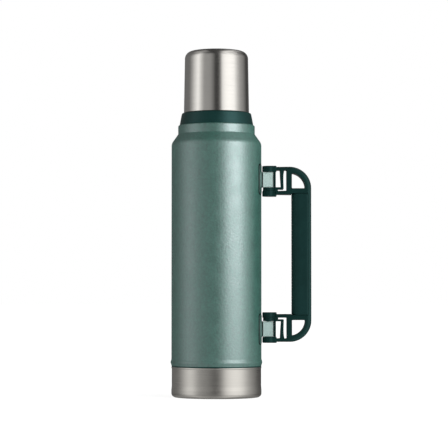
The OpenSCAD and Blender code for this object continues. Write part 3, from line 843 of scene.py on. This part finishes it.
def stopper_plug():
    """The hollow plug, with its gasket's groove and the flange under the knob."""
    inner_r = PLUG_R - 2
    step = GROOVE_Z + GROOVE_H
    outline = [(0, PLUG_LOW), (20.6, PLUG_LOW, 1), (20.6, GROOVE_Z, 0.2), (GROOVE_R, GROOVE_Z, 0.2),
               (GROOVE_R, step, 0.2), (PLUG_R, step, 0.3), (PLUG_R, FLANGE_Z, 0.8), (FLANGE_R, FLANGE_Z, 0.6),
               (FLANGE_R, KNOB_Z, 0.8), (inner_r, KNOB_Z), (inner_r, step + 2), (GROOVE_R - 2, step + 0.2),
               (GROOVE_R - 2, PLUG_LOW + 2), (0, PLUG_LOW + 2)]
    return lathe(rounded(outline), 160)


def stopper_knob():
    """The hollow knob, open below."""
    wall = 2.5
    outline = [(KNOB_R - wall, KNOB_Z), (KNOB_R, KNOB_Z, 0.2), (KNOB_R, KNOB_Z + 4), (KNOB_R, KNOB_TOP, 2.6),
               (KNOB_R - 5, KNOB_TOP - 0.3, 1), (KNOB_R - 6.5, KNOB_TOP - 1.1, 0.8), (0, KNOB_TOP - 0.9),
               (0, KNOB_TOP - 1 - wall), (KNOB_R - wall, KNOB_TOP - 1 - wall, 1)]
    return lathe(rounded(outline), 320, knob_shape)


def stopper_gasket():
    """The ring that seals the plug on the vessel's seat."""
    low, high = GROOVE_Z + 0.1, GROOVE_Z + 3.6
    outline = [(GROOVE_R + 0.1, low, 0.2), (SEAT_R - 0.1, low, 0.3), (PLUG_R + 0.1, low + 1.8, 0.5),
               (PLUG_R + 0.1, high, 0.5), (GROOVE_R + 0.1, high, 0.2)]
    return lathe(rounded(outline, support=0.05), 128)


plug_thread = (NECK_THREAD[0] + 1.5, NECK_THREAD[1] - 1.5)
plug_parts = [stopper_plug(), ridges(PLUG_R, plug_thread, phase=0.5)]
finish_object("plug", plug_parts, stopper_plastic, "stopper", ["stopper_body"])
finish_object("knob", [stopper_knob()], stopper_plastic, "stopper", ["stopper_knob"])
finish_object("plug_gasket", [stopper_gasket()], silicone, "stopper_lift", ["stopper_gasket"])


# ---------------------------------------------------------------- cup

def cup_wall():
    """The polished outer cup, with a slightly domed top."""
    t = CUP_T
    edge, outer, inner = CUP_TOP - 0.4, CUP_TOP - 0.32, CUP_TOP - 0.1
    outline = [(CUP_R, CUP_RIM, 0.22), (CUP_TOP_R, edge, 8), (24, outer), (12, inner), (0, CUP_TOP),
               (0, CUP_TOP - t), (12, inner - t), (24, outer - t), (CUP_TOP_R - t, edge - t, 7.5),
               (CUP_R - t, CUP_RIM, 0.22)]
    return lathe(rounded(outline), 256)


def cup_lining():
    """The cup's inner steel wall."""
    t, rim_r, top_r, top = 0.4, 31.5, 31.0, 359.1
    outline = [(rim_r, CUP_RING_TOP), (top_r, top - 0.4, 7), (20, top - 0.25), (0, top), (0, top - t),
               (20, top - 0.25 - t), (top_r - t, top - 0.4 - t, 6.6), (rim_r - t, CUP_RING_TOP)]
    return lathe(rounded(outline), 192)


def cup_ring():
    """The ring with the cup's thread, and a lip that holds the seal."""
    outline = [(RING_WALL_R, CUP_RIM, 0.4), (CUP_R - CUP_T, CUP_RIM, 0.3), (33.4, CUP_RING_TOP),
               (LIP_R, CUP_RING_TOP, 0.4), (LIP_R, LIP_Z, 0.3), (RING_WALL_R, LIP_Z)]
    return lathe(rounded(outline), 192)


def cup_seal():
    """The flat ring that seals the cup on the sleeve's end."""
    inner, outer = 28.4, RING_WALL_R - 0.1
    low, high = SLEEVE_TOP + 0.3, LIP_Z - 0.1
    outline = [(inner, low, 0.4), (outer, low, 0.3), (outer, high, 0.3), (inner, high, 0.4)]
    return lathe(rounded(outline, support=0.05), 160)


ring_parts = [cup_ring(), ridges(RING_WALL_R, CUP_THREAD, inward=True, phase=0.5)]
finish_object("cup", [cup_wall()], cup_steel, "cup", ["cup_shell"])
finish_object("cup_lining", [cup_lining()], vessel_steel, "cup", ["cup_liner"])
finish_object("cup_ring", ring_parts, collar_plastic_and_shade, "cup", ["cup_thread_ring"])
finish_object("cup_seal", [cup_seal()], silicone, "cup_lift", ["cup_gasket"])


# ---------------------------------------------------------------- CAD nodes that stay

KEPT_NODES = {
    "bottom_plate": plain_steel,
    "vacuum_seal": sealing_glass,
    "getter": plain_steel,
    "vessel_bottom": vessel_steel,
    "copper_foil": copper,
    "collar_seal": black_rubber,
    "hinge_bush_upper": white_plastic,
    "hinge_bush_lower": white_plastic,
    "stopper_foam": foam,
}
for node, material in KEPT_NODES.items():
    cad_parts[node].data.materials.clear()
    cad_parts[node].data.materials.append(material)


# ---------------------------------------------------------------- studio

def make_floor():
    """A wide white floor that the light on the flask doesn't come from."""
    mesh = bpy.data.meshes.new("floor")
    half = 30.0
    corners = [(-half, -half, 0), (half, -half, 0), (half, half, 0), (-half, half, 0)]
    mesh.from_pydata(corners, [], [(0, 1, 2, 3)])
    s = Shader("floor_white", (0.85, 0.85, 0.85), 0.9)
    glow = {"Emission Color": (1, 1, 1, 1), "Emission Strength": 0.8, "Specular IOR Level": 0.0}
    s.set(s.surface, glow)
    mesh.materials.append(s.material)
    floor = bpy.data.objects.new("floor", mesh)
    bpy.context.scene.collection.objects.link(floor)
    floor.visible_diffuse = False
    floor.visible_glossy = False


# The studio's brightness by azimuth, in degrees from the camera's side towards +X
STUDIO = [(-180, 0.15), (-112, 0.22), (-98, 0.48), (-84, 0.92), (-69, 1.4), (-57, 0.85), (-45, 0.43),
          (-22, 0.39), (-12, 0.24), (-4, 0.06), (8, 0.06), (15, 0.34), (21, 1.15), (32, 1.5), (48, 1.62),
          (66, 1.5), (80, 0.85), (94, 0.48), (111, 0.32), (134, 0.06), (180, 0.15)]
# That is multiplied by this, by elevation: full at the horizon, less higher up, and least below
RISE = [(-90, 0.35), (-12, 0.5), (-3, 1.0), (12, 1.0), (45, 0.7), (90, 0.6)]
# The pale floor's own light, from below, is added to it
GLOW = [(-90, 0.12), (-60, 0.2), (-30, 0.24), (-9, 0), (90, 0)]
# Overhead, by the share of +X in the direction: a bright panel on the handle's side, a weak one on the other
OVERHEAD = [(-1, 0.35), (-0.65, 0.27), (-0.5, 0.18), (-0.35, 0.11), (-0.17, 0.06), (0, 0.07), (0.1, 0.1),
            (0.2, 0.25), (0.32, 0.56), (0.44, 0.66), (0.6, 0.36), (0.75, 0.26), (1, 0.2)]
# Elevations, in degrees, between which the walls give way to what is overhead
WALLS_END = 25
OVERHEAD_FULL = 55
BRIGHTEST = 1.62


def make_world():
    """The studio that the flask reflects. The camera sees plain white in its place."""
    world = bpy.data.worlds.new("studio")
    world.use_nodes = True
    bpy.context.scene.world = world
    tree = world.node_tree
    tree.nodes.clear()

    def add(kind, *values, **settings):
        node = tree.nodes.new("ShaderNode" + kind)
        for key, value in settings.items():
            setattr(node, key, value)
        for socket, value in zip(node.inputs, values):
            if isinstance(value, bpy.types.NodeSocket):
                tree.links.new(value, socket)
            elif value is not None:
                socket.default_value = value
        return node

    def curve(fac, stops, top, unit=math.radians(1)):
        """Brightness along an angle or a share, as a ramp whose stops are scaled to run from 0 to 1."""
        low, high = stops[0][0], stops[-1][0]
        placed = add("MapRange", fac, low * unit, high * unit, 0.0, 1.0).outputs[0]
        ramp = add("ValToRGB", placed)
        while len(ramp.color_ramp.elements) < len(stops):
            ramp.color_ramp.elements.new(0.5)
        for element, (at, value) in zip(ramp.color_ramp.elements, stops):
            element.position = (at - low) / (high - low)
            element.color = (value / top,) * 3 + (1,)
        return ramp.outputs["Color"]

    x, y, z = add("SeparateXYZ", add("TexCoord").outputs["Generated"]).outputs
    forward = add("Math", y, -1.0, operation="MULTIPLY").outputs[0]
    azimuth = add("Math", x, forward, operation="ARCTAN2").outputs[0]
    elevation = add("Math", z, operation="ARCSINE").outputs[0]
    round_about = curve(azimuth, STUDIO, BRIGHTEST)
    rise = curve(elevation, RISE, 1.0)
    glow = curve(elevation, GLOW, BRIGHTEST)
    sides = add("Math", round_about, rise, operation="MULTIPLY").outputs[0]
    walls = add("Math", sides, glow, operation="ADD").outputs[0]
    overhead = curve(x, OVERHEAD, BRIGHTEST, 1.0)
    low, high = math.radians(WALLS_END), math.radians(OVERHEAD_FULL)
    up = add("MapRange", elevation, low, high, interpolation_type="SMOOTHSTEP").outputs[0]
    level = add("MixRGB", up, walls, overhead).outputs[0]
    lit = add("Background", level, BRIGHTEST).outputs[0]
    white = add("Background", (1, 1, 1, 1), 1.0).outputs[0]
    camera_ray = add("LightPath").outputs["Is Camera Ray"]
    shown = add("MixShader", camera_ray, lit, white).outputs[0]
    add("OutputWorld", shown)


def make_camera():
    """A long lens, level with the flask's lower third and aimed at its middle."""
    data = bpy.data.cameras.new("camera")
    data.lens, data.sensor_width = 157.2, 36.0
    data.clip_start, data.clip_end = 0.1, 100
    camera = bpy.data.objects.new("camera", data)
    bpy.context.scene.collection.objects.link(camera)
    eye, target = Vector((0.0079, -2.05, 0.102)), Vector((0.0079, 0, 0.1811))
    camera.location = eye
    camera.rotation_euler = (target - eye).to_track_quat("-Z", "Y").to_euler()
    bpy.context.scene.camera = camera


def make_panel(name, width, height, energy, place, aim, lit):
    """A soft panel of light, in metres and watts, that reaches only the objects it is given."""
    data = bpy.data.lights.new(name, "AREA")
    data.shape, data.size, data.size_y, data.energy = "RECTANGLE", width, height, energy
    panel = bpy.data.objects.new(name, data)
    bpy.context.scene.collection.objects.link(panel)
    panel.location = place
    panel.rotation_euler = (Vector(aim) - Vector(place)).to_track_quat("-Z", "Y").to_euler()
    panel.visible_camera = False
    receivers = bpy.data.collections.new(f"{name}_receivers")
    for obj in lit:
        receivers.objects.link(obj)
    panel.light_linking.receiver_collection = receivers


make_floor()
make_world()
make_camera()
# The key stands at the right front of the painted and moulded parts, and the brackets have a nearer one.
# Two weak panels soften the cup's crown. The base, the handle and the saddles have the studio alone.
meshes = {obj.name: obj for obj in bpy.context.scene.objects if obj.type == "MESH"}
cup_only = [meshes["cup"]]
brackets = [meshes["bracket_upper"], meshes["bracket_lower"]]
unlit = ["cup", "base", "handle", "grip", "floor"]
unlit += [f"{part}_{end}" for part in ("saddle", "saddle_pad", "bracket") for end, side in SIDES]
key_lit = [obj for name, obj in meshes.items() if name not in unlit]
neck, crown = (0, 0, 0.3), (0, 0, 0.355)
make_panel("key", 0.5, 0.44, 2.2, (0.52, -0.47, 0.36), neck, key_lit)
make_panel("bracket_key", 0.4, 0.35, 1.45, (0.4, -0.36, 0.42), neck, brackets)
make_panel("cup_right", 0.5, 0.36, 0.27, (0.35, -0.14, 0.82), crown, cup_only)
make_panel("cup_left", 0.4, 0.3, 0.07, (-0.3, 0.02, 0.83), crown, cup_only)
bpy.context.scene.view_settings.view_transform = "Standard"
